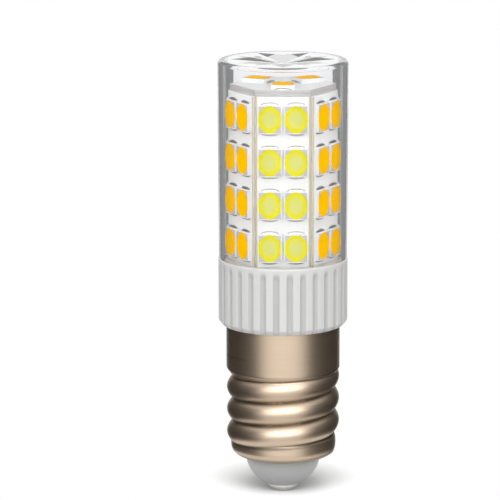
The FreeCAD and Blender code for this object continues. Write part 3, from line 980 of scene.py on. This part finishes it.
class CORN_BULB_OT_driver(bpy.types.Operator):
    """Finishes of the driver that is hidden in the cap and the body"""
    bl_idname = "corn_bulb.driver"
    bl_label = "Driver"

    def execute(self, context):
        epoxy = plain_finish("black_epoxy", (0.035, 0.035, 0.038), dark=0.7, roughness=0.55, spread=0.2)
        finishes = {
            "driver_board": plain_finish("green_solder_mask", (0.03, 0.16, 0.06), {"Coat Weight": 0.3},
                                         dark=0.7, grain=0.5 * MM),
            "bridge_rectifier": epoxy,
            "current_regulator": epoxy,
            "chip_resistors": plain_finish("black_glaze", (0.02, 0.02, 0.025), dark=0.6, roughness=0.25),
            "smoothing_capacitor": plain_finish("shrunk_sleeve", (0.04, 0.04, 0.06), {"Coat Weight": 0.4},
                                                dark=0.7, roughness=0.3, stretch=(1, 1, 0.2)),
            "fuse_resistor": plain_finish("baked_coat", (0.20, 0.42, 0.28), dark=0.8, roughness=0.5),
            "neutral_wire": plain_finish("blue_sleeve", (0.02, 0.08, 0.36), dark=0.75),
            "positive_lead": plain_finish("red_sleeve", (0.45, 0.02, 0.015), dark=0.75),
            "negative_lead": plain_finish("black_sleeve", (0.02, 0.02, 0.02), dark=0.6),
        }
        for node, finish in finishes.items():
            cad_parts[node].material_slots[0].material = finish
        return {"FINISHED"}


class CORN_BULB_OT_studio(bpy.types.Operator):
    """Pale floor, soft light and the camera"""
    bl_idname = "corn_bulb.studio"
    bl_label = "Studio"

    def execute(self, context):
        studio = context.scene.corn_bulb_studio
        self.add_floor(studio)
        self.add_world(context.scene, studio)
        for lamp in (
            ("front_softbox", (0, -0.72, 0.74), 1.0, 1.0, 6.2, ("glossy",)),
            ("crest_softbox", (0, -0.8, 0.40), 1.2, 0.66, 8.0, ("diffuse", "transmission")),
            ("left_fill", (-0.58, -0.33, 0.25), 0.7, 0.7, 2.8, ("diffuse", "glossy")),
            ("right_fill", (0.58, -0.33, 0.25), 0.7, 0.7, 2.8, ("diffuse", "glossy")),
        ):
            self.add_softbox(*lamp)
        cloth = cloth_finish("dark_cloth", studio.flag_shade, DEEP_SHADE)
        pale_cloth = cloth_finish("pale_cloth", studio.flag_shade, studio.card_shade)
        card = plain_finish("grey_card", shaded(WHITE, studio.card_shade), grain=0.01, roughness=0.9)
        for flag in (
            ("left_flag", cloth, 0.3, -0.6, 0.22, -106, -46, "metal"),
            ("left_back_flag", pale_cloth, 0.3, -0.6, 0.22, -155, -106, "metal"),
            ("right_flag", cloth, 0.3, -0.6, 0.22, 46, 106, "metal"),
            ("right_back_flag", pale_cloth, 0.3, -0.6, 0.22, 106, 155, "metal"),
            ("back_flag", pale_cloth, 0.6, 0.24, 0.6, 120, 240, "metal"),
            ("edge_strip", card, 0.6, -0.6, -0.045, 166, 194, "metal"),
            ("left_card", card, 0.5, -0.5, 0.6, -171, -98, "clear"),
            ("right_card", card, 0.5, -0.5, 0.6, 98, 171, "clear"),
        ):
            self.add_flag(*flag)
        self.add_camera(context.scene, studio)
        context.scene.view_settings.view_transform = "Standard"
        return {"FINISHED"}

    @staticmethod
    def add_floor(studio):
        """Floor that glows white, with a painted shadow: less glow where the bulb hides the room in front of
        it.
        """
        bm = bmesh.new()
        bmesh.ops.create_circle(bm, cap_ends=True, segments=96, radius=studio.floor_r)
        bmesh.ops.translate(bm, vec=(0, 0, CAD_BOX[0][2]), verts=bm.verts[:])
        material, tree, shader = new_finish("pale_floor", {
            "Base Color": (0.4, 0.4, 0.4, 1),
            "Roughness": 0.9,
            "Specular IOR Level": 0.1,
            "Emission Color": (*WHITE, 1),
        })
        # Painted shadow: ambient occlusion looked up along a normal tilted to the front dims the glow, so the
        # shadow falls behind the bulb
        facing = add_node(tree, "ShaderNodeCombineXYZ", {"Y": -0.85, "Z": 0.5})["Vector"]
        open_sky = add_node(tree, "ShaderNodeAmbientOcclusion", {"Distance": 12 * MM, "Normal": facing})["AO"]
        white = soft_ramp(tree, open_sky, 0.50, 0.93, studio.floor_shade, studio.floor_white)
        feed(tree, shader, {"Emission Strength": add_math(tree, "MULTIPLY", seen_ray(tree), white)})
        floor = add_object("studio_floor", bm, material)

    @staticmethod
    def add_world(scene, studio):
        """White wherever the background shows, and a plain soft light for everything else."""
        world = bpy.data.worlds.new("soft_studio")
        scene.world = world
        world.use_nodes = True
        tree = world.node_tree
        tree.nodes.clear()
        white, ambient = (
            add_node(tree, "ShaderNodeBackground", {"Color": (*WHITE, 1), "Strength": strength})["Background"]
            for strength in (1.0, studio.ambient))
        light = add_shaders(tree, seen_ray(tree), ambient, white)
        add_node(tree, "ShaderNodeOutputWorld", {"Surface": light})

    @staticmethod
    def add_flag(name, cloth, radius, low, high, start, end, shown_in):
        """Upright cloth on an arc round the bulb; its ends are in degrees from the front.

        It shows in metal or through clear pieces, and neither lights nor shades the bulb.
        """
        bm = bmesh.new()
        edge = [bm.verts.new((0, -radius, height)) for height in (low, high)]
        rail = bm.edges.new(edge)
        turned = Matrix.Rotation(math.radians(start), 3, "Z")
        bmesh.ops.rotate(bm, verts=edge, cent=(0, 0, 0), matrix=turned)
        bmesh.ops.spin(bm, geom=edge + [rail], cent=(0, 0, 0), axis=(0, 0, 1),
                       angle=math.radians(end - start), steps=24, use_merge=False)
        flag = add_object(name, bm, cloth)
        flag.visible_camera = flag.visible_diffuse = flag.visible_shadow = False
        flag.visible_glossy = shown_in == "metal"
        flag.visible_transmission = shown_in == "clear"

    @staticmethod
    def add_softbox(name, place, width, height, power, hidden_from):
        """Lamp turned to the bulb that these kinds of rays do not see."""
        light = bpy.data.lights.new(name, "AREA")
        light.shape = "RECTANGLE"
        light.size, light.size_y = width, height
        light.energy = power
        lamp = bpy.data.objects.new(name, light)
        lamp.location = place
        lamp.rotation_euler = (LAMP_AIM - Vector(place)).to_track_quat("-Z", "Y").to_euler()
        for rays in hidden_from:
            setattr(lamp, f"visible_{rays}", False)
        bpy.context.scene.collection.objects.link(lamp)

    @staticmethod
    def add_camera(scene, studio):
        lens = bpy.data.cameras.new("photo_camera")
        lens.lens = studio.lens
        lens.sensor_width = SENSOR_MM
        lens.shift_x = (IMAGE_PX / 2 - studio.axis_px) / IMAGE_PX
        lens.clip_start = 0.01
        camera = bpy.data.objects.new("photo_camera", lens)
        target = Vector((0, 0, studio.aim))
        away = Vector((0, -math.cos(studio.elevation), math.sin(studio.elevation)))
        camera.location = target + away * studio.distance
        camera.rotation_euler = (-away).to_track_quat("-Z", "Y").to_euler()
        scene.collection.objects.link(camera)
        scene.camera = camera


class CORN_BULB_PT_sidebar(bpy.types.Panel):
    """Lists the bulb's pieces and their sizes"""
    bl_idname = "CORN_BULB_PT_sidebar"
    bl_label = "Corn bulb"
    bl_space_type = "VIEW_3D"
    bl_region_type = "UI"
    bl_category = "Corn bulb"

    def draw(self, context):
        layout = self.layout
        for operator in OPERATORS:
            layout.operator(operator.bl_idname)
        for name, group in PROPERTY_GROUPS.items():
            box = layout.box()
            box.label(text=group.__doc__)
            settings = getattr(context.scene, name)
            for label in group.__annotations__:
                box.prop(settings, label)


PROPERTY_GROUPS = {
    "corn_bulb_cap": CornBulbCap,
    "corn_bulb_ring": CornBulbRing,
    "corn_bulb_leds": CornBulbLeds,
    "corn_bulb_cover": CornBulbCover,
    "corn_bulb_colours": CornBulbColours,
    "corn_bulb_studio": CornBulbStudio,
}
OPERATORS = (
    CORN_BULB_OT_screw_shell,
    CORN_BULB_OT_cap_end,
    CORN_BULB_OT_ribbed_body,
    CORN_BULB_OT_clear_cover,
    CORN_BULB_OT_boards,
    CORN_BULB_OT_leds,
    CORN_BULB_OT_driver,
    CORN_BULB_OT_studio,
)
CLASSES = (*PROPERTY_GROUPS.values(), *OPERATORS, CORN_BULB_PT_sidebar)


def register():
    for each in CLASSES:
        bpy.utils.register_class(each)
    for name, group in PROPERTY_GROUPS.items():
        setattr(bpy.types.Scene, name, bpy.props.PointerProperty(type=group))


def unregister():
    for name in PROPERTY_GROUPS:
        delattr(bpy.types.Scene, name)
    for each in reversed(CLASSES):
        bpy.utils.unregister_class(each)


def main():
    register()
    bpy.ops.corn_bulb.screw_shell()
    bpy.ops.corn_bulb.cap_end()
    bpy.ops.corn_bulb.ribbed_body()
    bpy.ops.corn_bulb.clear_cover()
    bpy.ops.corn_bulb.boards()
    bpy.ops.corn_bulb.leds()
    bpy.ops.corn_bulb.driver()
    bpy.ops.corn_bulb.studio()


if __name__ == "__main__":
    main()
